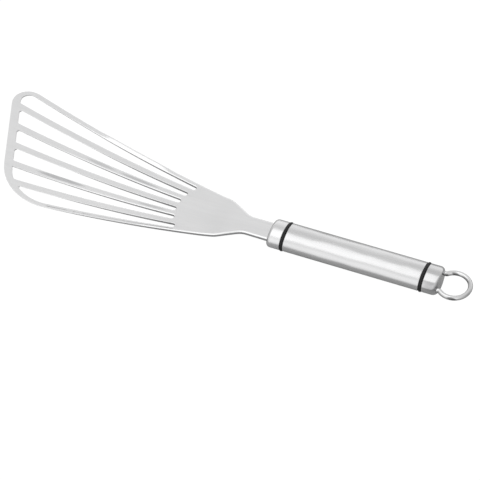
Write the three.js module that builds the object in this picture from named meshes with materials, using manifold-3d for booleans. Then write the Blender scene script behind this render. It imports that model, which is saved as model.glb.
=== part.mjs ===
// Omelette spatula: a slotted sheet blade on a hollow oval handle that ends in a wire hang ring.
// Millimetres, +Z up. The handle runs along +X to the hang ring and the blade lies along -X.
// It lies as it rests on a table, on the ferrule's lower edge and the underside of the blade.

import * as THREE from 'three';
import { mergeVertices } from 'three/addons/utils/BufferGeometryUtils.js';
import Module from 'manifold-3d';

// Handle: its oval outline and the lengths of its outer pieces
const HANDLE_WIDTH = 22.6;
const HANDLE_THICKNESS = 14.7;
const FERRULE_LENGTH = 9.6;
const TUBE_LENGTH = 94.95;
const CAP_LENGTH = 9.6;
const SEAL_WIDTH = 1.8;
const SEAL_PROUD = 0.4;
const SEAL_DEPTH = 0.8;
const SEAL_EDGE_RADIUS = 0.5;

// Handle: walls, end faces and rounded edges
const FERRULE_WALL = 0.8;
const FERRULE_FACE = 1.2;
const FERRULE_EDGE_RADIUS = 2.5;
const TUBE_WALL = 0.8;
const CAP_WALL = 0.8;
const CAP_FACE = 1.2;
const CAP_EDGE_RADIUS = 2.6;
const INNER_EDGE_RADIUS = 1.6;
const ROLLED_EDGE_RADIUS = 0.5;

// Cores inside the handle, and the cross pin that holds the tang
const FRONT_CORE_LENGTH = 36;
const REAR_CORE_LENGTH = 28;
const PIN_DIAMETER = 3;
const PIN_SETBACK = 17;
const PIN_END_INSET = 0.4;

// Hang ring: one bent wire with two legs in the rear core
const WIRE_DIAMETER = 3.2;
const LOOP_RADIUS = 10.65;
const LEG_STRAIGHT = 0.85;
const LEG_SPACING = 15.1;
const LEG_BEND_RADIUS = 2.2;
const LEG_DEPTH = 13;

// Blade: sheet that thins from the neck to the tip, tang, shank, shoulders and the slanted tip
const NECK_SHEET = 2.6;
const TIP_SHEET = 0.9;
const TANG_WIDTH = 10;
const TANG_LENGTH = 30;
const TANG_CORNER_RADIUS = 1.5;
const SHANK_WIDTH = 15.2;
const SHANK_INSET = 4;
const NECK_LENGTH = 18.7;
const NECK_RADIUS = 12;
const SHOULDER_REACH = 34.5;
const SHOULDER_WIDTH = 33.8;
const SHOULDER_RADIUS = 18;
const EDGE_SPREAD = THREE.MathUtils.degToRad(11.3);
const TIP_REACH = 197.1;
const TIP_SLANT = THREE.MathUtils.degToRad(21.2);
const LONG_CORNER_RADIUS = 12;
const SHORT_CORNER_RADIUS = 36;

// Blade: the fan of slots between the palm and the rim of the tip
const SLOT_COUNT = 6;
const SLOT_CORNER_RADIUS = 1.6;
const BAR_INNER_WIDTH = 3.95;
const BAR_OUTER_WIDTH = 5.2;
const EDGE_MARGIN = 1.2;
const PALM_REACH = 68.5;
const PALM_RADIUS = 31.5;
const RIM_WIDTH = 5.8;

// Blade: the bend seen from the side, down a little at the shoulders and then up to the tip
const DIP_START = 28;
const DIP_END = 40;
const DIP_DEPTH = 0.9;
const BEND_LOWEST = 39.5;
const BEND_RADIUS = 800;

// Clearances between pieces that seat on each other
const SEAT_GAP = 0.3;
const HOLE_CLEARANCE = 0.3;

// How much of its room a rounded corner or a pressed wall may take up
const CORNER_SHARE = 0.49;
const PRESS_SHARE = 0.85;

// Fineness of the round and bent faces
const OVAL_STEPS = 48;
const ARC_STEPS = 6;
const SMALL_ARC_STEPS = 3;
const WIRE_STEPS = 96;
const WIRE_SIDES = 12;
const PIN_SIDES = 24;
const BEND_FACET = 12;
const SHARP_TURN = THREE.MathUtils.degToRad(25);
const WELD_DISTANCE = 1e-4;

const wasm = await Module();
wasm.setup();

function toSolid(geometry) {
  const bare = geometry.clone();
  bare.deleteAttribute('normal');
  bare.deleteAttribute('uv');
  const merged = mergeVertices(bare, WELD_DISTANCE);
  const index = merged.index.array;
  const triangles = [];
  for (let i = 0; i < index.length; i += 3) {
    const [a, b, c] = index.slice(i, i + 3);
    if (a !== b && b !== c && c !== a) {
      triangles.push(a, b, c);
    }
  }
  return new wasm.Manifold(new wasm.Mesh({
    numProp: 3,
    vertProperties: new Float32Array(merged.attributes.position.array),
    triVerts: new Uint32Array(triangles),
  }));
}

function toMesh(name, solid, colour, roughness, metalness) {
  const mesh = solid.getMesh();
  const geometry = new THREE.BufferGeometry();
  geometry.setAttribute('position', new THREE.BufferAttribute(new Float32Array(mesh.vertProperties), 3));
  geometry.setIndex(new THREE.BufferAttribute(new Uint32Array(mesh.triVerts), 1));
  geometry.computeVertexNormals();
  const material = new THREE.MeshStandardMaterial({ color: colour, roughness, metalness });
  const piece = new THREE.Mesh(geometry, material);
  piece.name = name;
  return piece;
}

// A block from x0 to x1, centred on the handle's axis
function block(x0, x1, width, height) {
  const geometry = new THREE.BoxGeometry(x1 - x0, width, height);
  geometry.translate((x0 + x1) / 2, 0, 0);
  return toSolid(geometry);
}

// A round bar from x0 to x1, set off sideways from the handle's axis
function barAlongHandle(diameter, x0, x1, offset) {
  const geometry = new THREE.CylinderGeometry(diameter / 2, diameter / 2, x1 - x0, PIN_SIDES);
  geometry.rotateZ(Math.PI / 2);
  geometry.translate((x0 + x1) / 2, offset, 0);
  return toSolid(geometry);
}

// A round bar standing across the handle at x
function barAcrossHandle(diameter, length, x) {
  const geometry = new THREE.CylinderGeometry(diameter / 2, diameter / 2, length, PIN_SIDES);
  geometry.rotateX(Math.PI / 2);
  geometry.translate(x, 0, 0);
  return toSolid(geometry);
}

// Places along the handle, measured from the ferrule's front face
const frontSealStart = FERRULE_LENGTH + SEAT_GAP;
const frontSealEnd = frontSealStart + SEAL_WIDTH;
const tubeStart = frontSealEnd + SEAT_GAP;
const tubeEnd = tubeStart + TUBE_LENGTH;
const rearSealStart = tubeEnd + SEAT_GAP;
const rearSealEnd = rearSealStart + SEAL_WIDTH;
const capStart = rearSealEnd + SEAT_GAP;
const capEnd = capStart + CAP_LENGTH;
const frontCoreStart = SHANK_INSET + SEAT_GAP;
const rearCoreEnd = capEnd - CAP_FACE - SEAT_GAP;
const legEnd = rearCoreEnd - LEG_DEPTH;
const pinPlace = frontCoreStart + PIN_SETBACK;
const tangEnd = SHANK_INSET + TANG_LENGTH;

// The cores lie under the thickest wall round them
const frontCoreInset = Math.max(FERRULE_WALL, TUBE_WALL, SEAL_DEPTH) + SEAT_GAP;
const rearCoreInset = Math.max(CAP_WALL, TUBE_WALL, SEAL_DEPTH) + SEAT_GAP;

// The handle's pieces are turned round and then pressed oval, as the real tube is.
// Depth under the skin stays even all round, up to the limit that the tight ends of the oval allow.
const halfWidth = HANDLE_WIDTH / 2;
const halfThickness = HANDLE_THICKNESS / 2;
const tightestRadius = halfThickness * halfThickness / halfWidth;
const pressLimit = PRESS_SHARE * tightestRadius;

function ovalPoint(angle, inset) {
  const depth = Math.min(inset, pressLimit);
  const point = new THREE.Vector2(halfWidth * Math.cos(angle), halfThickness * Math.sin(angle));
  const normal = new THREE.Vector2(halfThickness * Math.cos(angle), halfWidth * Math.sin(angle)).normalize();
  point.addScaledVector(normal, -depth);
  return point.multiplyScalar((halfWidth - inset) / (halfWidth - depth));
}

// A profile point is [x, inset], the place along the handle and the depth under its skin
function pressedOval(profile) {
  const points = profile.map(([x, inset]) => new THREE.Vector2(halfWidth - inset, x));
  const geometry = new THREE.LatheGeometry(points, OVAL_STEPS);
  const position = geometry.attributes.position;
  for (let i = 0; i < position.count; i += 1) {
    const radius = Math.hypot(position.getX(i), position.getZ(i));
    const angle = Math.atan2(position.getX(i), position.getZ(i));
    const pressed = ovalPoint(angle, halfWidth - radius);
    position.setXYZ(i, position.getY(i), pressed.x, pressed.y);
  }
  return toSolid(geometry);
}

// A rounded edge, from the end face at x to the skin. Side is 1 for a front face and -1 for a rear one.
function roundedEdge(x, skin, radius, side, steps) {
  const points = [];
  for (let i = 0; i <= steps; i += 1) {
    const turn = Math.PI / 2 * i / steps;
    points.push([x + side * radius * (1 - Math.cos(turn)), skin + radius * (1 - Math.sin(turn))]);
  }
  return points;
}

function frontFerrule() {
  const cup = pressedOval([
    [0, halfWidth],
    ...roundedEdge(0, 0, FERRULE_EDGE_RADIUS, 1, ARC_STEPS),
    ...roundedEdge(FERRULE_LENGTH, 0, ROLLED_EDGE_RADIUS, -1, SMALL_ARC_STEPS).reverse(),
    [FERRULE_LENGTH, FERRULE_WALL],
    ...roundedEdge(FERRULE_FACE, FERRULE_WALL, INNER_EDGE_RADIUS, 1, SMALL_ARC_STEPS).reverse(),
    [FERRULE_FACE, halfWidth],
  ]);
  const slotWidth = SHANK_WIDTH + 2 * HOLE_CLEARANCE;
  const slotHeight = NECK_SHEET + 2 * HOLE_CLEARANCE;
  return cup.subtract(block(-FERRULE_FACE, 2 * FERRULE_FACE, slotWidth, slotHeight));
}

function sealRing(start, end) {
  return pressedOval([
    [start, SEAL_DEPTH],
    ...roundedEdge(start, -SEAL_PROUD, SEAL_EDGE_RADIUS, 1, SMALL_ARC_STEPS),
    ...roundedEdge(end, -SEAL_PROUD, SEAL_EDGE_RADIUS, -1, SMALL_ARC_STEPS).reverse(),
    [end, SEAL_DEPTH],
    [start, SEAL_DEPTH],
  ]);
}

function handleTube() {
  return pressedOval([
    [tubeStart, TUBE_WALL],
    ...roundedEdge(tubeStart, 0, ROLLED_EDGE_RADIUS, 1, SMALL_ARC_STEPS),
    ...roundedEdge(tubeEnd, 0, ROLLED_EDGE_RADIUS, -1, SMALL_ARC_STEPS).reverse(),
    [tubeEnd, TUBE_WALL],
    [tubeStart, TUBE_WALL],
  ]);
}

function plug(start, end, inset) {
  return pressedOval([
    [start, halfWidth],
    ...roundedEdge(start, inset, INNER_EDGE_RADIUS, 1, SMALL_ARC_STEPS),
    ...roundedEdge(end, inset, INNER_EDGE_RADIUS, -1, SMALL_ARC_STEPS).reverse(),
    [end, halfWidth],
  ]);
}

const pinHole = PIN_DIAMETER + 2 * HOLE_CLEARANCE;

function frontCore() {
  const pocketWidth = TANG_WIDTH + 2 * HOLE_CLEARANCE;
  const pocketHeight = NECK_SHEET + 2 * HOLE_CLEARANCE;
  const body = plug(frontCoreStart, frontCoreStart + FRONT_CORE_LENGTH, frontCoreInset);
  const pocket = block(SHANK_INSET, tangEnd + SEAT_GAP, pocketWidth, pocketHeight);
  return body.subtract(pocket).subtract(barAcrossHandle(pinHole, HANDLE_THICKNESS, pinPlace));
}

function tangPin() {
  const length = HANDLE_THICKNESS - 2 * (frontCoreInset + PIN_END_INSET);
  return barAcrossHandle(PIN_DIAMETER, length, pinPlace);
}

const legHole = WIRE_DIAMETER + 2 * HOLE_CLEARANCE;

function withLegHoles(solid, start, end) {
  const upper = barAlongHandle(legHole, start, end, LEG_SPACING / 2);
  const lower = barAlongHandle(legHole, start, end, -LEG_SPACING / 2);
  return solid.subtract(upper).subtract(lower);
}

function rearCore() {
  const body = plug(rearCoreEnd - REAR_CORE_LENGTH, rearCoreEnd, rearCoreInset);
  return withLegHoles(body, legEnd - SEAT_GAP, capEnd);
}

function endCap() {
  const innerFace = capEnd - CAP_FACE;
  const cup = pressedOval([
    [innerFace, halfWidth],
    ...roundedEdge(innerFace, CAP_WALL, INNER_EDGE_RADIUS, -1, SMALL_ARC_STEPS),
    [capStart, CAP_WALL],
    ...roundedEdge(capStart, 0, ROLLED_EDGE_RADIUS, 1, SMALL_ARC_STEPS),
    ...roundedEdge(capEnd, 0, CAP_EDGE_RADIUS, -1, ARC_STEPS).reverse(),
    [capEnd, halfWidth],
  ]);
  return withLegHoles(cup, innerFace - CAP_FACE, capEnd + CAP_FACE);
}

// The wire's centre line: out of the cap, a bend outwards, round the loop and back in
class WireLine extends THREE.Curve {
  constructor(path) {
    super();
    this.path = path;
  }

  getPoint(t, target = new THREE.Vector3()) {
    const point = this.path.getPoint(t);
    return target.set(point.x, point.y, 0);
  }
}

function hangRing() {
  const leg = LEG_SPACING / 2;
  const bendOffset = leg + LEG_BEND_RADIUS;
  const bendReach = Math.sqrt((LOOP_RADIUS + LEG_BEND_RADIUS) ** 2 - bendOffset ** 2);
  const bendPlace = capEnd + LEG_STRAIGHT;
  const centre = bendPlace + bendReach;
  const meet = Math.atan2(bendOffset, bendReach);
  const path = new THREE.Path();
  path.moveTo(legEnd, leg);
  path.lineTo(bendPlace, leg);
  path.absarc(bendPlace, bendOffset, LEG_BEND_RADIUS, -Math.PI / 2, -meet, false);
  path.absarc(centre, 0, LOOP_RADIUS, Math.PI - meet, meet - Math.PI, true);
  path.absarc(bendPlace, -bendOffset, LEG_BEND_RADIUS, meet, Math.PI / 2, false);
  path.lineTo(legEnd, -leg);
  const section = new THREE.Shape();
  section.absarc(0, 0, WIRE_DIAMETER / 2, 0, 2 * Math.PI, false);
  return toSolid(new THREE.ExtrudeGeometry(section, {
    steps: WIRE_STEPS,
    curveSegments: WIRE_SIDES / 2,
    extrudePath: new WireLine(path),
  }));
}

// Plan of the blade. Points are (reach, side): the distance from the ferrule towards the tip, and across.
// Each corner carries its radius, which gives way where its sides are too short for it.
function roundedOutline(corners, Outline) {
  const outline = new Outline();
  corners.forEach(({ point, radius }, i) => {
    const before = corners[(i + corners.length - 1) % corners.length].point.clone().sub(point);
    const after = corners[(i + 1) % corners.length].point.clone().sub(point);
    const room = CORNER_SHARE * Math.min(before.length(), after.length());
    before.normalize();
    after.normalize();
    const half = Math.acos(THREE.MathUtils.clamp(before.dot(after), -1, 1)) / 2;
    const tangent = Math.min(radius / Math.tan(half), room);
    const fitted = tangent * Math.tan(half);
    const start = point.clone().addScaledVector(before, tangent);
    if (i === 0) {
      outline.moveTo(start.x, start.y);
    } else {
      outline.lineTo(start.x, start.y);
    }
    if (radius > 0) {
      const inward = before.clone().add(after).normalize();
      const centre = point.clone().addScaledVector(inward, fitted / Math.sin(half));
      const end = point.clone().addScaledVector(after, tangent);
      const from = start.sub(centre).angle();
      const to = end.sub(centre).angle();
      outline.absarc(centre.x, centre.y, fitted, from, to, before.cross(after) > 0);
    }
  });
  outline.closePath();
  return outline;
}

function corner(reach, side, radius = 0) {
  return { point: new THREE.Vector2(reach, side), radius };
}

const edgeRise = Math.tan(EDGE_SPREAD);
const slantRise = Math.tan(TIP_SLANT);

// Where the slanted tip edge meets a side edge: side 1 is the long corner and -1 the short one
function tipCorner(side, radius) {
  const spread = SHOULDER_WIDTH / 2 + (TIP_REACH - SHOULDER_REACH) * edgeRise;
  const across = side * spread / (1 - side * slantRise * edgeRise);
  return corner(TIP_REACH + across * slantRise, across, radius);
}

function bladeOutline() {
  const half = (side) => [
    corner(-tangEnd, side * TANG_WIDTH / 2, TANG_CORNER_RADIUS),
    corner(-SHANK_INSET, side * TANG_WIDTH / 2),
    corner(-SHANK_INSET, side * SHANK_WIDTH / 2),
    corner(NECK_LENGTH, side * SHANK_WIDTH / 2, NECK_RADIUS),
    corner(SHOULDER_REACH, side * SHOULDER_WIDTH / 2, SHOULDER_RADIUS),
  ];
  return roundedOutline([
    ...half(-1),
    tipCorner(-1, SHORT_CORNER_RADIUS),
    tipCorner(1, LONG_CORNER_RADIUS),
    ...half(1).reverse(),
  ], THREE.Shape);
}

// The slots share out the angle between the side edges. They fan out from a point a little nearer than
// the one where the edges would meet, which leaves the outermost bars wider.
const slotAngle = 2 * EDGE_SPREAD / SLOT_COUNT;
const slotAngles = Array.from({ length: SLOT_COUNT }, (_, i) => ((SLOT_COUNT - 1) / 2 - i) * slotAngle);
const fanApex = SHOULDER_WIDTH / 2 / edgeRise - SHOULDER_REACH - EDGE_MARGIN / Math.sin(EDGE_SPREAD);
const slotWidth = (reach, bar) => 2 * (fanApex + reach) * Math.tan(slotAngle / 2) - bar;
const slotInnerWidth = slotWidth(PALM_REACH, BAR_INNER_WIDTH);
const slotOuterWidth = slotWidth(TIP_REACH, BAR_OUTER_WIDTH);

// One side of a slot: a straight line that fans out from the slot's own middle line
function slotSide(angle, side) {
  const along = new THREE.Vector2(Math.cos(angle), Math.sin(angle));
  const across = new THREE.Vector2(-along.y, along.x).multiplyScalar(side);
  const at = (reach, width) => new THREE.Vector2(-fanApex, 0)
    .addScaledVector(along, fanApex + reach)
    .addScaledVector(across, width / 2);
  const start = at(PALM_REACH, slotInnerWidth);
  const direction = at(TIP_REACH, slotOuterWidth).sub(start).normalize();
  return { start, direction, inside: new THREE.Vector2(direction.y, -direction.x).multiplyScalar(side) };
}

// The round end of a slot lies on the palm's curved outline
function slotStart(angle) {
  const along = new THREE.Vector2(Math.cos(angle), Math.sin(angle));
  const palm = fanApex + PALM_REACH - PALM_RADIUS;
  const distance = palm * along.x + Math.sqrt(PALM_RADIUS ** 2 - (palm * along.y) ** 2);
  const start = new THREE.Vector2(-fanApex, 0).addScaledVector(along, distance);
  return { start, direction: new THREE.Vector2(-along.y, along.x), inside: along };
}

function meeting(a, b) {
  const between = b.start.clone().sub(a.start);
  const along = between.cross(b.direction) / a.direction.cross(b.direction);
  return a.start.clone().addScaledVector(a.direction, along);
}

function clipped(points, line) {
  const height = (point) => point.clone().sub(line.start).dot(line.inside);
  return points.flatMap((point, i) => {
    const next = points[(i + 1) % points.length];
    const here = height(point);
    const there = height(next);
    const kept = here >= 0 ? [point] : [];
    if (here * there < 0) {
      kept.push(point.clone().lerp(next, here / (here - there)));
    }
    return kept;
  });
}

// The slotted field inside the rim: its sides are the outermost slot sides, its end the rim of the tip
function slotField() {
  const upper = slotSide(slotAngles[0], 1);
  const lower = slotSide(slotAngles[SLOT_COUNT - 1], -1);
  const rim = {
    start: new THREE.Vector2(TIP_REACH - RIM_WIDTH / Math.cos(TIP_SLANT), 0),
    direction: new THREE.Vector2(Math.sin(TIP_SLANT), Math.cos(TIP_SLANT)),
  };
  const outline = roundedOutline([
    { point: upper.start.clone().addScaledVector(upper.direction, -fanApex), radius: 0 },
    { point: lower.start.clone().addScaledVector(lower.direction, -fanApex), radius: 0 },
    { point: meeting(lower, rim), radius: Math.max(SHORT_CORNER_RADIUS - RIM_WIDTH, 0) },
    { point: meeting(upper, rim), radius: Math.max(LONG_CORNER_RADIUS - RIM_WIDTH, 0) },
  ], THREE.Path);
  return outline.getPoints(ARC_STEPS).slice(0, -1);
}

function slotHole(field, angle) {
  const start = slotStart(angle);
  const lines = [slotSide(angle, 1), slotSide(angle, -1), start];
  const points = lines.reduce(clipped, field);
  const corners = points.map((point, i) => {
    const before = point.clone().sub(points[(i + points.length - 1) % points.length]);
    const after = points[(i + 1) % points.length].clone().sub(point);
    const sharp = Math.abs(Math.atan2(before.cross(after), before.dot(after))) > SHARP_TURN;
    const inner = point.distanceTo(start.start) < slotInnerWidth;
    const radius = inner ? slotInnerWidth / 2 : SLOT_CORNER_RADIUS;
    return { point, radius: sharp ? radius : 0 };
  });
  return roundedOutline(corners, THREE.Path);
}

// Side view of the sheet: straight as far as the shoulders, a small dip there, then one long upward bend.
// The underside follows the bend, and the upper side comes down to it towards the tip.
const bendCentre = { reach: BEND_LOWEST, height: BEND_RADIUS - DIP_DEPTH };

function undersideHeight(reach) {
  const place = Math.max(reach, DIP_END) - bendCentre.reach;
  const bend = bendCentre.height - Math.sqrt(BEND_RADIUS ** 2 - place ** 2);
  const dip = THREE.MathUtils.clamp((reach - DIP_START) / (DIP_END - DIP_START), 0, 1);
  return bend * dip - NECK_SHEET / 2;
}

function sheetThickness(reach) {
  return THREE.MathUtils.mapLinear(Math.max(reach, 0), 0, TIP_REACH, NECK_SHEET, TIP_SHEET);
}

// The table touches the ferrule's lower front edge and the blade's underside: the line along both arcs
const edgeToBend = {
  reach: bendCentre.reach + FERRULE_EDGE_RADIUS,
  height: bendCentre.height - NECK_SHEET / 2 + halfThickness - FERRULE_EDGE_RADIUS,
};
const restTilt = Math.acos((BEND_RADIUS - FERRULE_EDGE_RADIUS) / Math.hypot(edgeToBend.reach, edgeToBend.height))
  - Math.atan2(edgeToBend.reach, edgeToBend.height);
const restReach = bendCentre.reach + BEND_RADIUS * Math.sin(restTilt);

// The bend is made of flat facets, one of them centred where the blade touches the table
function bendStations(farthest) {
  const stations = [-2 * tangEnd, 0];
  const facetsBefore = Math.floor((restReach - DIP_END) / BEND_FACET - 0.5);
  const first = restReach - (facetsBefore + 0.5) * BEND_FACET;
  stations.push(DIP_START, DIP_END);
  for (let reach = first; reach < farthest + BEND_FACET; reach += BEND_FACET) {
    stations.push(reach);
  }
  return stations;
}

function blade() {
  const farthest = tipCorner(1, 0).point.x;
  const plan = bladeOutline();
  const field = slotField();
  plan.holes = slotAngles.map((angle) => slotHole(field, angle));
  const flat = new THREE.ExtrudeGeometry(plan, {
    depth: farthest,
    bevelEnabled: false,
    curveSegments: ARC_STEPS,
  });
  flat.translate(0, 0, -farthest / 2);
  flat.rotateY(Math.PI);

  const stations = bendStations(farthest);
  const under = stations.map((reach) => new THREE.Vector2(reach, undersideHeight(reach)));
  const over = under.map(({ x, y }) => new THREE.Vector2(x, y + sheetThickness(x)));
  const bent = new THREE.ExtrudeGeometry(new THREE.Shape([...over, ...under.reverse()]), {
    depth: 2 * farthest,
    bevelEnabled: false,
  });
  bent.translate(0, 0, -farthest);
  bent.rotateX(Math.PI / 2);
  bent.rotateZ(Math.PI);

  const sheet = toSolid(flat).intersect(toSolid(bent));
  return sheet.subtract(barAcrossHandle(pinHole, HANDLE_THICKNESS, pinPlace));
}

const assembly = new THREE.Group();
assembly.rotation.y = -restTilt;
assembly.add(
  toMesh('blade', blade(), '#d3d4d6', 0.32, 1),
  toMesh('front_ferrule', frontFerrule(), '#cfd0d2', 0.36, 1),
  toMesh('front_seal_ring', sealRing(frontSealStart, frontSealEnd), '#1c1c1e', 0.6, 0),
  toMesh('front_core', frontCore(), '#e4e2dc', 0.55, 0),
  toMesh('tang_pin', tangPin(), '#bfc1c4', 0.35, 1),
  toMesh('handle_tube', handleTube(), '#cfd0d2', 0.36, 1),
  toMesh('rear_seal_ring', sealRing(rearSealStart, rearSealEnd), '#1c1c1e', 0.6, 0),
  toMesh('rear_core', rearCore(), '#e4e2dc', 0.55, 0),
  toMesh('end_cap', endCap(), '#cfd0d2', 0.36, 1),
  toMesh('hang_ring', hangRing(), '#d8d9db', 0.15, 1),
);

// The origin is under the middle of the resting spatula, on the table
const spatula = new THREE.Group();
spatula.add(assembly);
spatula.updateMatrixWorld(true);
const bounds = new THREE.Box3().setFromObject(assembly, true);
const middle = bounds.getCenter(new THREE.Vector3());
assembly.position.set(-middle.x, -middle.y, -bounds.min.z);

export default spatula;
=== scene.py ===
from math import atan2, cos, pi, radians, sin, sqrt, tan

import bmesh
import bpy
from mathutils import Matrix, Vector


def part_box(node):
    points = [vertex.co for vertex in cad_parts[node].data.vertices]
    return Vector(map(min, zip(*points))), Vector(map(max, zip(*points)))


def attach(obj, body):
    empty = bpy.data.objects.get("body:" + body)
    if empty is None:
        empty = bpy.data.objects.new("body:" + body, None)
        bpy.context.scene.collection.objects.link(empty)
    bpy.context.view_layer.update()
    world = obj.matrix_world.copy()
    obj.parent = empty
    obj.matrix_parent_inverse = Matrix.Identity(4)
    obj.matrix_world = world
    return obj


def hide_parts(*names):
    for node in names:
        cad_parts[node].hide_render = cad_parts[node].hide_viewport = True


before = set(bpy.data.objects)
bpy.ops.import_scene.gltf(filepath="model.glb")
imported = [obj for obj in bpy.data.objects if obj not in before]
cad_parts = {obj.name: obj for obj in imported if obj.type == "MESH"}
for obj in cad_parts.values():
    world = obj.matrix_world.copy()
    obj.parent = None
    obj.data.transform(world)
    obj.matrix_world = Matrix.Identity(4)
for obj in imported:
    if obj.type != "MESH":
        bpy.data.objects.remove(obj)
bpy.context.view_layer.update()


# Blade: one stainless sheet, blanked with its fan of slots, rolled thinner towards the tip and bent up.
# Its edges are rounded over and polished, its faces brushed lengthwise, and its tang goes into the handle.

# The handle's own frame: from the ferrule's front face towards the hang ring, across, and up
FRONT_SEAL_PLACE = 0.0108
front_seal = sum(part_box("front_seal_ring"), Vector()) / 2
rear_seal = sum(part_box("rear_seal_ring"), Vector()) / 2
along = (rear_seal - front_seal).normalized()
across = Vector((0, 1, 0))
handle = Matrix((along, across, along.cross(across))).transposed().to_4x4()
handle.translation = front_seal - along * FRONT_SEAL_PLACE

# The sheet and its edges: a drop is the height of an edge's rounding, an edge the power of its curve
NECK_SHEET = 0.0026
TIP_SHEET = 0.0009
EDGE_WIDTH = 0.0015
EDGE_ROUNDS = 7
EDGE_DROP = 0.0004
NECK_DROP = 0.00058
ROUND_EDGE = 2.5
NECK_EDGE = 2.0
FAR_EDGE = 2
FAR_EDGE_START = -0.5
SQUARE_EDGE = 8
TIP_EDGE_START = 0.150
TIP_EDGE_FULL = 0.185
LOWER_EDGE = 12
THIN_EDGE = 1.2
THIN_EDGE_START = 0.085
THIN_EDGE_FULL = 0.150
THIN_EDGE_SHARE = 0.6
SLOT_END_GROUND = 0.25
SLOT_END_SQUARE = 0.75

# The plan: a reach is counted from the ferrule's front face towards the tip
TANG_REACH = -0.034
TANG_WIDTH = 0.010
TANG_CORNER = 0.0024
SHANK_REACH = -0.004
SHANK_WIDTH = 0.0152
NECK_REACH = 0.0187
NECK_RADIUS = 0.012
NECK_TRIM = 0.0003
SHOULDER_REACH = 0.0345
SHOULDER_WIDTH = 0.0338
SHOULDER_RADIUS = 0.018
SHOULDER_TRIM = 0.0005
EDGE_SPREAD = radians(11.3)
TIP_REACH = 0.1971
TIP_SLANT = radians(21.2)
LONG_CORNER = 0.012
SHORT_CORNER = 0.036
RIM_WIDTH = 0.0058
SLOTS = 6
SLOT_CORNER = 0.0016
PALM_REACH = 0.0685
PALM_RADIUS = 0.0315
BAR_INNER_WIDTH = 0.00395
BAR_OUTER_WIDTH = 0.0052
EDGE_MARGIN = 0.0012
SHARP_TURN = radians(25)
CORNER_STEPS = 10
CORNER_SHARE = 0.49
SAME_POINT = 1e-6

# The step at the shoulders, the long bend and the twist of the outermost bar
DIP_START = 0.027
DIP_END = 0.046
DIP_DEPTH = 0.00081
BEND_LOWEST = 0.0395
BEND_RADIUS = 0.800
BEND_STEP = 0.003
TWIST = tan(radians(12))
TWIST_START = 0.082
TWIST_END = 0.146
TWIST_EASE = 0.014


def rounded(corners):
    """The points of a closed outline, from (point, radius) corners."""
    outline = []
    for i, (point, radius) in enumerate(corners):
        back = corners[i - 1][0] - point
        ahead = corners[(i + 1) % len(corners)][0] - point
        half = back.angle(ahead) / 2
        if radius == 0:
            outline.append(point)
            continue
        length = min(radius / tan(half), CORNER_SHARE * back.length, CORNER_SHARE * ahead.length)
        middle = (back.normalized() + ahead.normalized()).normalized()
        centre = point + middle * (length / cos(half))
        start = point + back.normalized() * length - centre
        end = point + ahead.normalized() * length - centre
        turn = -start.angle_signed(end)
        for step in range(CORNER_STEPS + 1):
            outline.append(centre + Matrix.Rotation(turn * step / CORNER_STEPS, 2) @ start)
    return outline


def tip_corner(side):
    """The corner where a long edge of the blade would meet the slanted tip."""
    spread = SHOULDER_WIDTH / 2 + (TIP_REACH - SHOULDER_REACH) * tan(EDGE_SPREAD)
    offset = side * spread / (1 - side * tan(TIP_SLANT) * tan(EDGE_SPREAD))
    return Vector((TIP_REACH + offset * tan(TIP_SLANT), offset))


def half_blade(side):
    """The corners of one side from the tang to the shoulder. The front side is trimmed a little."""
    trimmed = max(0, -side)
    return [
        (Vector((TANG_REACH, side * TANG_WIDTH / 2)), TANG_CORNER),
        (Vector((SHANK_REACH, side * TANG_WIDTH / 2)), 0),
        (Vector((SHANK_REACH, side * SHANK_WIDTH / 2)), 0),
        (Vector((NECK_REACH, side * SHANK_WIDTH / 2 + trimmed * NECK_TRIM)), NECK_RADIUS),
        (Vector((SHOULDER_REACH, side * SHOULDER_WIDTH / 2 + trimmed * SHOULDER_TRIM)), SHOULDER_RADIUS),
    ]


blank = rounded([
    *half_blade(-1),
    (tip_corner(-1), SHORT_CORNER),
    (tip_corner(1), LONG_CORNER),
    *reversed(half_blade(1)),
])

pitch = 2 * EDGE_SPREAD / SLOTS
apex = SHOULDER_WIDTH / 2 / tan(EDGE_SPREAD) - SHOULDER_REACH - EDGE_MARGIN / sin(EDGE_SPREAD)
inner_slot = 2 * (apex + PALM_REACH) * tan(pitch / 2) - BAR_INNER_WIDTH
outer_slot = 2 * (apex + TIP_REACH) * tan(pitch / 2) - BAR_OUTER_WIDTH


def slot_side(angle, side):
    """A long side of a slot as (start, direction, way into the slot)."""
    ray = Vector((cos(angle), sin(angle)))
    aside = side * Vector((-ray.y, ray.x))
    start = Vector((-apex, 0)) + ray * (apex + PALM_REACH) + aside * (inner_slot / 2)
    end = Vector((-apex, 0)) + ray * (apex + TIP_REACH) + aside * (outer_slot / 2)
    way = (end - start).normalized()
    return start, way, side * Vector((way.y, -way.x))


def slot_start(angle):
    """The line at a slot's inner end, on the palm's round outline."""
    ray = Vector((cos(angle), sin(angle)))
    palm = apex + PALM_REACH - PALM_RADIUS
    distance = palm * ray.x + sqrt(PALM_RADIUS ** 2 - (palm * ray.y) ** 2)
    return Vector((-apex, 0)) + ray * distance, Vector((-ray.y, ray.x)), ray


def meeting(first, second):
    """The point where two lines cross."""
    between = second[0] - first[0]
    return first[0] + first[1] * (between.cross(second[1]) / first[1].cross(second[1]))


def clipped(points, line):
    """The part of an outline on the side of a line that its third vector points to."""
    kept = []
    for i, point in enumerate(points):
        following = points[(i + 1) % len(points)]
        here = (point - line[0]).dot(line[2])
        there = (following - line[0]).dot(line[2])
        if here >= 0:
            kept.append(point)
        if here * there < 0:
            kept.append(point.lerp(following, here / (here - there)))
    return kept


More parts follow.
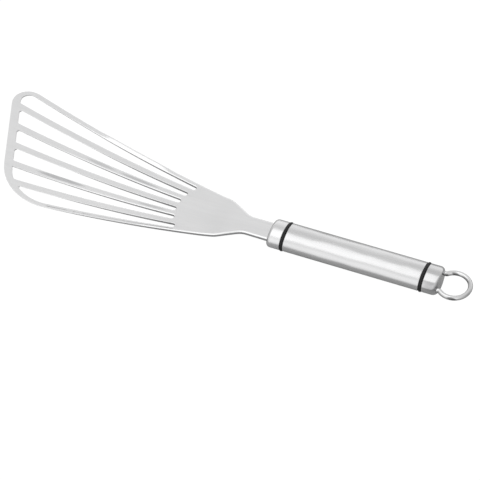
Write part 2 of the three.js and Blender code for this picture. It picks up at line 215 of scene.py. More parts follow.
slot_angles = [((SLOTS - 1) / 2 - i) * pitch for i in range(SLOTS)]
upper_side = slot_side(slot_angles[0], 1)
lower_side = slot_side(slot_angles[-1], -1)
rim = (Vector((TIP_REACH - RIM_WIDTH / cos(TIP_SLANT), 0)), Vector((sin(TIP_SLANT), cos(TIP_SLANT))))
field = rounded([
    (upper_side[0] - upper_side[1] * apex, 0),
    (lower_side[0] - lower_side[1] * apex, 0),
    (meeting(lower_side, rim), SHORT_CORNER - RIM_WIDTH),
    (meeting(upper_side, rim), LONG_CORNER - RIM_WIDTH),
])


def slot_outline(angle):
    """A slot: the field inside the rim, cut to the slot's sides and its inner end, with rounded corners."""
    start = slot_start(angle)
    points = clipped(clipped(clipped(field, slot_side(angle, 1)), slot_side(angle, -1)), start)
    corners = []
    for i, point in enumerate(points):
        turn = (point - points[i - 1]).angle(points[(i + 1) % len(points)] - point)
        inner = (point - start[0]).length < inner_slot
        corners.append((point, (inner_slot / 2 if inner else SLOT_CORNER) if turn > SHARP_TURN else 0))
    return rounded(corners)


plate = bpy.data.curves.new("blade_plate", "CURVE")
plate.dimensions = "2D"
plate.fill_mode = "BOTH"
plate.bevel_depth = EDGE_WIDTH
plate.bevel_resolution = EDGE_ROUNDS
plate.offset = -EDGE_WIDTH
for outline in [blank, *map(slot_outline, slot_angles)]:
    spline = plate.splines.new("POLY")
    spline.points.add(len(outline) - 1)
    spline.use_cyclic_u = True
    for knot, point in zip(spline.points, outline):
        knot.co = (-point.x, point.y, 0, 1)
flat_blade = bpy.data.objects.new("flat_blade", plate)
blade_mesh = bpy.data.meshes.new_from_object(flat_blade)
bpy.data.objects.remove(flat_blade)
bpy.data.curves.remove(plate)
blade_mesh.name = "blade_sheet"

sheet = bmesh.new()
sheet.from_mesh(blade_mesh)
bmesh.ops.remove_doubles(sheet, verts=sheet.verts, dist=SAME_POINT)
bend_places = 1 + int((tip_corner(1).x - DIP_START) / BEND_STEP)
for place in [0, *(DIP_START + i * BEND_STEP for i in range(bend_places))]:
    everything = [*sheet.verts, *sheet.edges, *sheet.faces]
    bmesh.ops.bisect_plane(sheet, geom=everything, plane_co=(-place, 0, 0), plane_no=(1, 0, 0))
bmesh.ops.recalc_face_normals(sheet, faces=sheet.faces)
sheet.normal_update()


def limited(share):
    return max(0, min(1, share))


def eased(share):
    """From 0 to 1 with a soft start and a soft end."""
    return share ** 2 * (3 - 2 * share)


def ease_slope(share):
    return 6 * share * (1 - share)


def underside(reach):
    """The height of the blade's underside and its slope: level, then down the step, then up the bend."""
    place = max(reach, DIP_END) - BEND_LOWEST
    rise = sqrt(BEND_RADIUS ** 2 - place ** 2)
    bend = BEND_RADIUS - DIP_DEPTH - rise
    if reach >= DIP_END:
        return bend - NECK_SHEET / 2, place / rise
    dip = limited((reach - DIP_START) / (DIP_END - DIP_START))
    slope = bend * ease_slope(dip) / (DIP_END - DIP_START)
    return bend * eased(dip) - NECK_SHEET / 2, slope


def on_squared_bar(reach, aside):
    """Whether a place is on every other bar, or on the outer part of the front one."""
    bar = round(atan2(aside, apex + reach) / pitch)
    if bar == -SLOTS / 2:
        return reach > THIN_EDGE_START
    return bar % 2 == 0 and reach > SHOULDER_REACH


def from_neck(reach):
    """How far a place is from the neck towards the slots, from 0 to 1."""
    return limited((reach - SHOULDER_REACH) / (PALM_REACH - SHOULDER_REACH))


def upper_edge(reach, aside, backward):
    """How square an upper edge is: rounded over at the neck and where it faces backward, and where it
    faces forward nearly square at the tip and on the squared bars."""
    tip = limited((reach - TIP_EDGE_START) / (TIP_EDGE_FULL - TIP_EDGE_START))
    square = 1 if on_squared_bar(reach, aside) else tip
    round_edge = NECK_EDGE + (ROUND_EDGE - NECK_EDGE) * from_neck(reach)
    forward_edge = round_edge + (SQUARE_EDGE - round_edge) * square
    return forward_edge + (FAR_EDGE - forward_edge) * limited(backward - FAR_EDGE_START)


def lower_edge(reach, aside, inward):
    """How square a lower edge is: square at the palm and the slots' ends, ground away along the bars."""
    thinned = limited((reach - THIN_EDGE_START) / (THIN_EDGE_FULL - THIN_EDGE_START))
    ground = thinned * limited((SLOT_END_SQUARE - inward) / (SLOT_END_SQUARE - SLOT_END_GROUND))
    if not on_squared_bar(reach, aside):
        ground = THIN_EDGE_SHARE * ground
    return LOWER_EDGE * (THIN_EDGE / LOWER_EDGE) ** ground


def bar_twist(reach, aside):
    """The cross slope and the rise of the outermost bar, which is twisted a little along its middle."""
    if aside < (apex + reach) * tan(pitch * (SLOTS - 1) / 2):
        return 0, 0
    middle = SHOULDER_WIDTH / 2 + (reach - SHOULDER_REACH) * tan(EDGE_SPREAD) - BAR_OUTER_WIDTH / 2
    ease = limited((reach - TWIST_START) / TWIST_EASE) * limited((TWIST_END - reach) / TWIST_EASE)
    twist = TWIST * eased(ease)
    return twist, twist * (aside - middle)


blade_normals = []
for vert in sheet.verts:
    reach = -vert.co.x
    slimming = (TIP_SHEET - NECK_SHEET) / TIP_REACH if reach > 0 else 0
    thickness = NECK_SHEET + slimming * reach
    low, slope = underside(reach)
    upper = vert.co.z >= 0
    drop = (NECK_DROP + (EDGE_DROP - NECK_DROP) * from_neck(reach)) * thickness / NECK_SHEET
    depth = drop if upper else thickness - drop
    flat = Vector((vert.normal.x, vert.normal.y, 0))
    if flat.length > 0:
        flat.normalize()
    power = upper_edge(reach, vert.co.y, flat.y) if upper else lower_edge(reach, vert.co.y, flat.x)
    twist, lift = bar_twist(reach, vert.co.y)
    out = sqrt(max(0, 1 - (vert.co.z / EDGE_WIDTH) ** 2))
    rise = (1 - out ** power) ** (1 / power)
    facing = Vector((slope + slimming * (1 if upper else 1 - rise), -twist, 1)) * (1 if upper else -1)
    normal = flat * (out ** (power - 1) / EDGE_WIDTH) + facing * (rise ** (power - 1) / depth)
    blade_normals.append(normal.normalized())
    vert.co.z = low + lift + thickness - drop + (depth if upper else -depth) * rise
sheet.to_mesh(blade_mesh)
sheet.free()
blade_mesh.shade_smooth()
blade_mesh.normals_split_custom_set_from_vertices(blade_normals)


class Value:
    """A shader node's output, which adds nodes to its tree as it is reckoned with."""

    def __init__(self, tree, socket=None):
        self.tree = tree
        self.socket = socket

    def node(self, kind, settings=None, sockets=None, output=0):
        """Adds a node of this kind, with its settings and its sockets' values or links."""
        made = self.tree.nodes.new(kind)
        for name, setting in (settings or {}).items():
            if name == "stops":
                made.color_ramp.elements.remove(made.color_ramp.elements[1])
                for i, (position, grey) in enumerate(setting):
                    stops = made.color_ramp.elements
                    stop = stops[0] if i == 0 else stops.new(position)
                    stop.position = position
                    stop.color = (grey, grey, grey, 1)
            else:
                setattr(made, name, setting)
        for name, value in (sockets or {}).items():
            if isinstance(value, Value):
                self.tree.links.new(value.socket, made.inputs[name])
            else:
                made.inputs[name].default_value = value
        return Value(self.tree, made.outputs[output] if made.outputs else None)

    def math(self, operation, first, second):
        return self.node("ShaderNodeMath", {"operation": operation}, {0: first, 1: second})

    def __add__(self, other):
        return self.math("ADD", self, other)

    def __radd__(self, other):
        return self.math("ADD", other, self)

    def __sub__(self, other):
        return self.math("SUBTRACT", self, other)

    def __rsub__(self, other):
        return self.math("SUBTRACT", other, self)

    def __mul__(self, other):
        return self.math("MULTIPLY", self, other)

    def __rmul__(self, other):
        return self.math("MULTIPLY", other, self)


def noise(spot, size, detail=3):
    """Noise with grains of this size along, across and up, in the handle's frame."""
    placed = spot.node(
        "ShaderNodeMapping",
        {"vector_type": "TEXTURE"},
        {"Vector": spot, "Location": handle.translation, "Rotation": handle.to_euler(), "Scale": size},
    )
    return spot.node("ShaderNodeTexNoise", {}, {"Vector": placed, "Scale": 1, "Detail": detail})


def surface(name):
    """A new material, its shader and the place on the piece."""
    material = bpy.data.materials.new(name)
    material.use_nodes = True
    tree = material.node_tree
    shader = tree.nodes["Principled BSDF"]
    return material, shader, Value(tree).node("ShaderNodeTexCoord", output="Object")


def drive(shader, **inputs):
    """Links or sets a shader's sockets, with _ in their names for a space."""
    for name, value in inputs.items():
        socket = shader.inputs[name.replace("_", " ")]
        if isinstance(value, Value):
            value.tree.links.new(value.socket, socket)
        else:
            socket.default_value = value


# The sockets of a Mix node that mixes colours
MIX_SHARE = 0
MIX_DARK = 6
MIX_LIGHT = 7
MIX_COLOUR = 2


def shade(share, dark, light, limited_share=True):
    """A colour between a dark and a light one."""
    return share.node(
        "ShaderNodeMix",
        {"data_type": "RGBA", "clamp_factor": limited_share},
        {MIX_SHARE: share, MIX_DARK: (*dark, 1), MIX_LIGHT: (*light, 1)},
        MIX_COLOUR,
    )


# The finish of all the steel: the sizes of its marks along, across and up, and what each adds to its tone
BRUSH_LINES = (0.030, 0.0005, 0.0005)
BRUSH_STREAKS = (0.060, 0.0024, 0.0024)
STEEL_CLOUDS = (0.026, 0.016, 0.016)
STEEL_WAVES = (0.022, 0.014, 0.014)
LINE_SHARE = 0.3
STREAK_SHARE = 0.35
CLOUD_SHARE = 0.35
LINE_HEIGHT = 0.5
STEEL_ROUGHNESS_SPREAD = 0.12


def brushed_steel(name, dark, light, roughness, wave_depth, grain_depth, darkening=None):
    """Stainless steel with lengthwise brush lines, cloudy patches and a slightly uneven face.
    Darkening gives a mask of places that are darker."""
    steel, shader, spot = surface(name)
    lines = noise(spot, BRUSH_LINES)
    streaks = noise(spot, BRUSH_STREAKS, 2)
    clouds = noise(spot, STEEL_CLOUDS, 2)
    waves = noise(spot, STEEL_WAVES, 1)
    tone = lines * LINE_SHARE + streaks * STREAK_SHARE + clouds * CLOUD_SHARE
    if darkening:
        tone = tone - darkening(spot)
    uneven = spot.node("ShaderNodeBump", {}, {"Strength": 1, "Distance": wave_depth, "Height": waves})
    brushed = spot.node(
        "ShaderNodeBump",
        {},
        {"Strength": 1, "Distance": grain_depth, "Height": lines * LINE_HEIGHT + streaks, "Normal": uneven},
    )
    drive(
        shader,
        Metallic=1,
        Base_Color=shade(tone, dark, light, limited_share=False),
        Roughness=roughness - STEEL_ROUGHNESS_SPREAD / 2 + STEEL_ROUGHNESS_SPREAD * tone,
        Normal=brushed,
    )
    return steel


# Darker patches along some bars: each one's reach, its place in the fan counted in bars, its half length
# and its depth
BAR_PATCHES = (
    (0.131, 1.02, 0.012, 0.8),
    (0.101, 1.00, 0.016, 1.1),
    (0.150, -0.95, 0.019, 1.4),
    (0.084, -0.95, 0.011, 0.8),
)
BAR_PATCH_WIDTH = 0.13
BAR_PATCH_EDGE = 1.8
BAR_PATCH_GRAIN = (0.006, 0.0012, 0.0012)
PATCH_LEAST = 0.4
PATCH_SPREAD = 1.2
# Painted shade on the blade's upright walls round the palm: how closely it keeps to the walls, its depth,
# where it ends and its fade
WALL_SHADE_EDGE = 8
WALL_SHADE_DEPTH = 1.7
WALL_SHADE_END = 0.092
WALL_SHADE_FADE = 0.024


def patchiness(spot, grain):
    """How strongly a darker patch shows, varying patch by patch."""
    return PATCH_LEAST + PATCH_SPREAD * noise(spot, grain)


def blade_patches_and_wall_shade(spot):
    """Darker patches along some bars, and painted shade on the sheet's upright walls round the palm."""
    fan = handle @ Vector((apex, 0, 0))
    outward = spot.node("ShaderNodeVectorMath", {"operation": "SUBTRACT"}, {0: spot, 1: fan})
    away = 0 - spot.node("ShaderNodeSeparateXYZ", {}, {0: outward}, "X")
    aside = spot.node("ShaderNodeSeparateXYZ", {}, {0: outward}, "Y")
    bar = spot.math("ARCTAN2", aside, away) * (1 / pitch)
    bar_patches = 0
    for reach, place, length, depth in BAR_PATCHES:
        lengthwise = (away - (apex + reach)) * (1 / length)
        crosswise = (bar - place) * (1 / BAR_PATCH_WIDTH)
        inside = 1 - lengthwise * lengthwise - crosswise * crosswise
        bar_patches = bar_patches + depth * spot.node("ShaderNodeClamp", {}, {0: BAR_PATCH_EDGE * inside})
    facing = spot.node("ShaderNodeNewGeometry", output="Normal")
    upward = spot.node("ShaderNodeSeparateXYZ", {}, {0: facing}, "Z")
    # Painted shade: the upright walls near the palm are darkened as if in shadow
    wall = spot.node("ShaderNodeClamp", {}, {0: 1 - WALL_SHADE_EDGE * (upward * upward)})
    near_palm_shade = spot.node("ShaderNodeClamp", {}, {0: (apex + WALL_SHADE_END - away) * (1 / WALL_SHADE_FADE)})
    return bar_patches * patchiness(spot, BAR_PATCH_GRAIN) + WALL_SHADE_DEPTH * (wall * near_palm_shade)


BLADE_DARK = (0.71, 0.71, 0.715)
BLADE_LIGHT = (0.845, 0.845, 0.847)
BLADE_ROUGHNESS = 0.30
BLADE_GRAZING = (0.7, 0.7, 0.702, 1)
BLADE_WAVES = 0.00006
BLADE_GRAIN = 0.000004


def part_of_tool(name, mesh, material):
    """Puts a piece made in the handle's frame in its place, on the tool's one body."""
    mesh.transform(handle)
    mesh.materials.append(material)
    piece = bpy.data.objects.new(name, mesh)
    bpy.context.scene.collection.objects.link(piece)
    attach(piece, "root")
    return piece


# The blade's steel, with darker patches on some bars and painted shade on its walls round the palm
blade_steel = brushed_steel(
    "blade_steel", BLADE_DARK, BLADE_LIGHT, BLADE_ROUGHNESS, BLADE_WAVES, BLADE_GRAIN, blade_patches_and_wall_shade
)
drive(blade_steel.node_tree.nodes["Principled BSDF"], Specular_Tint=BLADE_GRAZING)
blade = part_of_tool("slotted_blade", blade_mesh, blade_steel)
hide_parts("blade")


# Front core and rear core: moulded plastic plugs that fill the ends of the hollow handle.
# They hold the blade's tang and the legs of the hang ring, and the steel skin hides them.

CORE_DARK = (0.66, 0.64, 0.58)
CORE_LIGHT = (0.78, 0.76, 0.70)
CORE_ROUGHNESS = 0.5
CORE_ROUGHNESS_SPREAD = 0.1
CORE_CLOUDS = (0.011, 0.011, 0.011)
CORE_GRAINS = (0.0004, 0.0004, 0.0004)
CORE_TEXTURE = 0.00002
CORE_TEXTURE_STRENGTH = 0.6

core_plastic, core_shader, core_spot = surface("core_plastic")
core_grains = noise(core_spot, CORE_GRAINS)
core_bump = core_spot.node(
    "ShaderNodeBump",
    {},
    {"Strength": CORE_TEXTURE_STRENGTH, "Distance": CORE_TEXTURE, "Height": core_grains},
)
drive(
    core_shader,
    Base_Color=shade(noise(core_spot, CORE_CLOUDS), CORE_DARK, CORE_LIGHT),
    Roughness=CORE_ROUGHNESS - CORE_ROUGHNESS_SPREAD / 2 + CORE_ROUGHNESS_SPREAD * core_grains,
    Normal=core_bump,
)
for name in ("front_core", "rear_core"):
    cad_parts[name].data.materials.clear()
    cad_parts[name].data.materials.append(core_plastic)


# Tang pin: a short drawn steel rod, pressed across the front core and through the tang.
# It keeps the blade from being pulled out, and the handle's skin hides it.

PIN_DARK = (0.46, 0.46, 0.47)
PIN_LIGHT = (0.62, 0.62, 0.63)
PIN_ROUGHNESS = 0.34
PIN_WAVES = 0.00001
PIN_GRAIN = 0.000003

pin_steel = brushed_steel("pin_steel", PIN_DARK, PIN_LIGHT, PIN_ROUGHNESS, PIN_WAVES, PIN_GRAIN)
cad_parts["tang_pin"].data.materials.clear()
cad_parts["tang_pin"].data.materials.append(pin_steel)


# Front ferrule: a deep-drawn steel cup, pressed oval, that closes the front of the handle.
# Its edges are rounded, and the blade's shank goes in through a slot in its face.

# The oval of the whole handle. Deeper than the press limit an even inset would fold at the oval's sides
HALF_WIDTH = 0.0113
HALF_THICKNESS = 0.00735
PRESS_SHARE = 0.85
PRESS_LIMIT = PRESS_SHARE * HALF_THICKNESS ** 2 / HALF_WIDTH
OVAL_STEPS = 128
ROW_SPACING = 0.006
ROUNDS = 8
EDGE_SUPPORT = 0.0003
SHARP_EDGE = radians(40)

FERRULE_LENGTH = 0.00978
FERRULE_WALL = 0.0008
FERRULE_FACE = 0.0012
FERRULE_EDGE = 0.0025
FERRULE_INNER_EDGE = 0.0016
ROLLED_EDGE = 0.0006
SHANK_SLOT_GAP = 0.0003
SHANK_SLOT_LIP = 0.0002
SHANK_SLOT_SQUARENESS = 8

FERRULE_DARK = (0.61, 0.61, 0.615)
FERRULE_LIGHT = (0.77, 0.77, 0.772)
HANDLE_ROUGHNESS = 0.27
HANDLE_WAVES = 0.0007
HANDLE_GRAIN = 0.000004


def oval_row(x, inset):
    """A loop of points round the handle at x, so deep under its skin."""
    row = []
    depth = min(inset, PRESS_LIMIT)
    shrink = (HALF_WIDTH - inset) / (HALF_WIDTH - depth)
    for i in range(OVAL_STEPS):
        angle = 2 * pi * i / OVAL_STEPS
        normal = Vector((0, HALF_THICKNESS * cos(angle), HALF_WIDTH * sin(angle))).normalized()
        skin = Vector((0, HALF_WIDTH * cos(angle), HALF_THICKNESS * sin(angle)))
        row.append((skin - normal * depth) * shrink + Vector((x, 0, 0)))
    return row


def edge_rows(x, skin, radius, side):
    """Rows round a rounded edge, from the end face at x to the skin. Side is 1 at a front end."""
    rows = []
    for i in range(ROUNDS + 1):
        turn = pi / 2 * i / ROUNDS
        rows.append(oval_row(x + side * radius * (1 - cos(turn)), skin + radius * (1 - sin(turn))))
    return rows


def skin_rows(start, end):
    """Rows along a plain length of the handle's skin, with a close one at each end."""
    count = max(1, round((end - start) / ROW_SPACING))
    length = end - start - 2 * EDGE_SUPPORT
    return [oval_row(start + EDGE_SUPPORT + length * i / count, 0) for i in range(count + 1)]


def slot_row(x, half_width, half_height):
    """A loop of as many points round the shank's slot."""
    row = []
    power = 2 / SHANK_SLOT_SQUARENESS
    for i in range(OVAL_STEPS):
        c, s = cos(2 * pi * i / OVAL_STEPS), sin(2 * pi * i / OVAL_STEPS)
        y = half_width * abs(c) ** power * (1 if c > 0 else -1)
        z = half_height * abs(s) ** power * (1 if s > 0 else -1)
        row.append(Vector((x, y, z)))
    return row


def mesh_of_rows(name, rows, end_faces=False):
    """A closed mesh through rows that follow each other: the last meets the first, or both get a face."""
    wall = bmesh.new()
    loops = [[wall.verts.new(point) for point in row] for row in rows]
    following = loops[1:] if end_faces else loops[1:] + loops[:1]
    for loop, following_loop in zip(loops, following):
        for j in range(len(loop)):
            k = (j + 1) % len(loop)
            wall.faces.new((loop[j], loop[k], following_loop[k], following_loop[j]))
    if end_faces:
        wall.faces.new(loops[0])
        wall.faces.new(loops[-1])
    bmesh.ops.recalc_face_normals(wall, faces=wall.faces)
    mesh = bpy.data.meshes.new(name)
    wall.to_mesh(mesh)
    wall.free()
    mesh.shade_smooth()
    mesh.set_sharp_from_angle(angle=SHARP_EDGE)
    return mesh


slot_half_width = SHANK_WIDTH / 2 + SHANK_SLOT_GAP
slot_half_height = NECK_SHEET / 2 + SHANK_SLOT_GAP
ferrule_rows = [
    slot_row(FERRULE_FACE, slot_half_width, slot_half_height),
    slot_row(SHANK_SLOT_LIP, slot_half_width, slot_half_height),
    slot_row(0, slot_half_width + SHANK_SLOT_LIP, slot_half_height + SHANK_SLOT_LIP),
    oval_row(0, FERRULE_EDGE + EDGE_SUPPORT),
    *edge_rows(0, 0, FERRULE_EDGE, 1),
    *skin_rows(FERRULE_EDGE, FERRULE_LENGTH - ROLLED_EDGE),
    *reversed(edge_rows(FERRULE_LENGTH, 0, ROLLED_EDGE, -1)),
    oval_row(FERRULE_LENGTH, FERRULE_WALL),
    *reversed(edge_rows(FERRULE_FACE, FERRULE_WALL, FERRULE_INNER_EDGE, 1)),
]
ferrule_steel = brushed_steel(
    "ferrule_steel", FERRULE_DARK, FERRULE_LIGHT, HANDLE_ROUGHNESS, HANDLE_WAVES, HANDLE_GRAIN
)
ferrule_mesh = mesh_of_rows("ferrule_cup", ferrule_rows)
ferrule = part_of_tool("ferrule_cup", ferrule_mesh, ferrule_steel)
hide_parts("front_ferrule")


# Seal rings: two moulded black rubber rings that close the joints between tube, ferrule and end cap.
# They stand a little proud of the steel and are rounded outside.

SEAL_WIDTH = 0.0018
SEAL_PROUD = 0.0004
SEAL_DEPTH = 0.0008
SEAL_ROUNDING = 0.0008
REAR_SEAL_PLACE = FRONT_SEAL_PLACE + (rear_seal - front_seal).length
SEAL_DARK = (0.004, 0.004, 0.0045)
SEAL_LIGHT = (0.016, 0.016, 0.017)
SEAL_CLOUDS = (0.004, 0.004, 0.004)
SEAL_CLOUD_SHARE = 0.6
SEAL_GRAINS = (0.0003, 0.0003, 0.0003)
SEAL_GRAIN_SHARE = 0.4
SEAL_TEXTURE = 0.00003
SEAL_TEXTURE_STRENGTH = 0.7
SEAL_SHINE = 0.3
SEAL_ROUGHNESS = 0.48
SEAL_ROUGHNESS_SPREAD = 0.16

seal_rubber, seal_shader, seal_spot = surface("seal_rubber")
seal_clouds = noise(seal_spot, SEAL_CLOUDS)
seal_grains = noise(seal_spot, SEAL_GRAINS)
seal_tone = SEAL_CLOUD_SHARE * seal_clouds + SEAL_GRAIN_SHARE * seal_grains
seal_bump = seal_spot.node(
    "ShaderNodeBump",
    {},
    {"Strength": SEAL_TEXTURE_STRENGTH, "Distance": SEAL_TEXTURE, "Height": seal_grains},
)
drive(
    seal_shader,
    Base_Color=shade(seal_tone, SEAL_DARK, SEAL_LIGHT),
    Roughness=SEAL_ROUGHNESS - SEAL_ROUGHNESS_SPREAD / 2 + SEAL_ROUGHNESS_SPREAD * seal_clouds,
    Specular_IOR_Level=SEAL_SHINE,
    Normal=seal_bump,
)
for name, node, middle in (
    ("front_seal", "front_seal_ring", FRONT_SEAL_PLACE),
    ("rear_seal", "rear_seal_ring", REAR_SEAL_PLACE),
):
    start, end = middle - SEAL_WIDTH / 2, middle + SEAL_WIDTH / 2
    seal_rows = [
        oval_row(start, SEAL_DEPTH),
        *edge_rows(start, -SEAL_PROUD, SEAL_ROUNDING, 1),
        *reversed(edge_rows(end, -SEAL_PROUD, SEAL_ROUNDING, -1)),
        oval_row(end, SEAL_DEPTH),
    ]
    seal = part_of_tool(name, mesh_of_rows(name, seal_rows), seal_rubber)
    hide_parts(node)


# Handle tube: a welded steel tube, pressed oval and brushed lengthwise, with both ends rolled in.
# It slides over the two cores and is held between the seal rings.

TUBE_START = 0.01182
TUBE_END = 0.10713
TUBE_WALL = 0.0008
TUBE_DARK = (0.57, 0.57, 0.575)
TUBE_LIGHT = (0.72, 0.72, 0.722)

tube_rows = [
    oval_row(TUBE_START, TUBE_WALL),
    *edge_rows(TUBE_START, 0, ROLLED_EDGE, 1),
    *skin_rows(TUBE_START + ROLLED_EDGE, TUBE_END - ROLLED_EDGE),
    *reversed(edge_rows(TUBE_END, 0, ROLLED_EDGE, -1)),
    oval_row(TUBE_END, TUBE_WALL),
]
tube_steel = brushed_steel(
    "handle_steel", TUBE_DARK, TUBE_LIGHT, HANDLE_ROUGHNESS, HANDLE_WAVES, HANDLE_GRAIN
)
tube = part_of_tool("oval_tube", mesh_of_rows("oval_tube", tube_rows), tube_steel)
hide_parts("handle_tube")


# End cap: a deep-drawn steel cup like the ferrule, with a flat end face. The edge of that face is sharp
# above and below and well rounded at both sides. The hang ring's two legs come out through its holes.

CAP_START = 0.10917
CAP_END = 0.11935
CAP_WALL = 0.0008
CAP_FACE = 0.0012
CAP_EDGE = 0.0009
CAP_SIDE_EDGE = 0.0040
CAP_INNER_EDGE = 0.0016
LEG_SPACING = 0.0151
LEG_HOLE = 0.0036
LEG_HOLE_SIDES = 32
DRILL_LENGTH = 0.0072
WELD = 0.00002
CAP_DARK = (0.51, 0.51, 0.514)
CAP_LIGHT = (0.66, 0.66, 0.662)
CAP_ROUGHNESS = 0.19
# Painted shade on the cap's front side: its centre, half size, grain, edge and depth
CAP_SHADE_PLACE = Vector((0.1168, -0.0098, 0.0036))
CAP_SHADE_SIZE = Vector((0.0095, 0.0050, 0.0044))
CAP_SHADE_GRAIN = (0.0022, 0.0012, 0.0012)
CAP_SHADE_EDGE = 1.6
CAP_SHADE_DEPTH = 1.1

# How near each point of the oval is to its two sides
cap_sides = [cos(2 * pi * i / OVAL_STEPS) ** 2 for i in range(OVAL_STEPS)]
cap_edge = []
for sharp, broad in zip(edge_rows(CAP_END, 0, CAP_EDGE, -1), edge_rows(CAP_END, 0, CAP_SIDE_EDGE, -1)):
    cap_edge.append([near.lerp(far, side) for near, far, side in zip(sharp, broad, cap_sides)])
cap_rows = [
    oval_row(CAP_END - CAP_FACE, CAP_WALL + CAP_INNER_EDGE + EDGE_SUPPORT),
    *edge_rows(CAP_END - CAP_FACE, CAP_WALL, CAP_INNER_EDGE, -1),
    oval_row(CAP_START, CAP_WALL),
    *edge_rows(CAP_START, 0, ROLLED_EDGE, 1),
    *skin_rows(CAP_START + ROLLED_EDGE, CAP_END - CAP_SIDE_EDGE),
    *reversed(cap_edge),
    oval_row(CAP_END, CAP_SIDE_EDGE + EDGE_SUPPORT),
]
cap_mesh = mesh_of_rows("end_cup", cap_rows, end_faces=True)

leg_holes = bmesh.new()
for side in (-1, 1):
    bmesh.ops.create_cone(
        leg_holes,
        cap_ends=True,
        segments=LEG_HOLE_SIDES,
        radius1=LEG_HOLE / 2,
        radius2=LEG_HOLE / 2,
        depth=DRILL_LENGTH,
        matrix=Matrix.Translation((CAP_END, side * LEG_SPACING / 2, 0)) @ Matrix.Rotation(pi / 2, 4, "Y"),
    )
drill_mesh = bpy.data.meshes.new("leg_drill")
leg_holes.to_mesh(drill_mesh)
leg_holes.free()
drill = bpy.data.objects.new("leg_drill", drill_mesh)
undrilled = bpy.data.objects.new("undrilled_cup", cap_mesh)
bpy.context.scene.collection.objects.link(drill)
bpy.context.scene.collection.objects.link(undrilled)
drilling = undrilled.modifiers.new("leg_holes", "BOOLEAN")
drilling.operation = "DIFFERENCE"
drilling.solver = "EXACT"
drilling.object = drill
drilled = undrilled.evaluated_get(bpy.context.evaluated_depsgraph_get())
drilled_mesh = bpy.data.meshes.new_from_object(drilled)
drilled_mesh.name = "end_cup"
drilled_cup = bmesh.new()
drilled_cup.from_mesh(drilled_mesh)
bmesh.ops.remove_doubles(drilled_cup, verts=drilled_cup.verts, dist=WELD)
bmesh.ops.dissolve_degenerate(drilled_cup, edges=drilled_cup.edges, dist=WELD)
bmesh.ops.triangulate(drilled_cup, faces=drilled_cup.faces, ngon_method="BEAUTY")
drilled_cup.to_mesh(drilled_mesh)
drilled_cup.free()
drilled_mesh.shade_smooth()
drilled_mesh.set_sharp_from_angle(angle=SHARP_EDGE)
bpy.data.objects.remove(drill)
bpy.data.objects.remove(undrilled)


def painted_dark_patch(spot, place, size, edge):
    """A mask of a soft patch of painted darkening at a place in the handle's frame, from its half size in
    x, y and z.
    """
    offset = spot.node("ShaderNodeVectorMath", {"operation": "SUBTRACT"}, {0: spot, 1: handle @ place})
    share = spot.node("ShaderNodeVectorMath", {"operation": "DIVIDE"}, {0: offset, 1: size})
    distance = spot.node("ShaderNodeVectorMath", {"operation": "LENGTH"}, {0: share}, "Value")
    return spot.node("ShaderNodeClamp", {}, {0: edge * (1 - distance)})


def cap_painted_shade(spot):
    """Painted shade: a darker patch along the cap's front side, standing in for its darker reflection
    there.
    """
    mark = painted_dark_patch(spot, CAP_SHADE_PLACE, CAP_SHADE_SIZE, CAP_SHADE_EDGE)
    return mark * (CAP_SHADE_DEPTH * patchiness(spot, CAP_SHADE_GRAIN))


# The cap's steel, with painted shade on its front side
cap_steel = brushed_steel(
    "cap_steel", CAP_DARK, CAP_LIGHT, CAP_ROUGHNESS, HANDLE_WAVES, HANDLE_GRAIN, cap_painted_shade
)
cap = part_of_tool("end_cup", drilled_mesh, cap_steel)
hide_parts("end_cap")


# Hang ring: one polished steel wire, bent to a loop that narrows to two legs at the end cap.
# The legs run parallel into the rear core, so the ring stands fixed in line with the handle.

WIRE_RADIUS = 0.0016
WIRE_SIDES = 28
LOOP_RADIUS = 0.01065
LEG_STRAIGHT = 0.00045
LEG_BEND = 0.0022
LEG_END = 0.1045
LOOP_STEPS = 120
BEND_STEPS = 14
WIRE_DARK = (0.62, 0.62, 0.622)
WIRE_LIGHT = (0.76, 0.76, 0.762)
WIRE_ROUGHNESS = 0.08
WIRE_GRAZING = (0.35, 0.35, 0.352, 1)
WIRE_WAVES = 0.0001
WIRE_GRAIN = 0.000002

bend_offset = LEG_SPACING / 2 + LEG_BEND
bend_out = sqrt((LOOP_RADIUS + LEG_BEND) ** 2 - bend_offset ** 2)
bend_place = CAP_END + LEG_STRAIGHT
loop_centre = bend_place + bend_out
bend_sweep = pi / 2 - Vector((bend_out, bend_offset)).angle(Vector((1, 0)))
half_loop = pi / 2 + bend_sweep

half_line = [Vector((LEG_END, LEG_SPACING / 2, 0))]
for i in range(BEND_STEPS + 1):
    turn = bend_sweep * i / BEND_STEPS
    half_line.append(Vector((bend_place + LEG_BEND * sin(turn), bend_offset - LEG_BEND * cos(turn), 0)))
for i in range(1, LOOP_STEPS // 2 + 1):
    turn = half_loop * (1 - i / (LOOP_STEPS // 2))
    half_line.append(Vector((loop_centre + LOOP_RADIUS * cos(turn), LOOP_RADIUS * sin(turn), 0)))
wire_line = half_line + [Vector((p.x, -p.y, 0)) for p in reversed(half_line[:-1])]

wire_rows = []
for i, point in enumerate(wire_line):
    ahead = wire_line[min(i + 1, len(wire_line) - 1)]
    behind = wire_line[max(i - 1, 0)]
    way = (ahead - behind).normalized()
    outward = Vector((way.y, -way.x, 0))
    row = []
    for j in range(WIRE_SIDES):
        angle = 2 * pi * j / WIRE_SIDES
        spoke = outward * cos(angle) + Vector((0, 0, 1)) * sin(angle)
        row.append(point + spoke * WIRE_RADIUS)
    wire_rows.append(row)
wire_mesh = mesh_of_rows("bent_wire", wire_rows, end_faces=True)

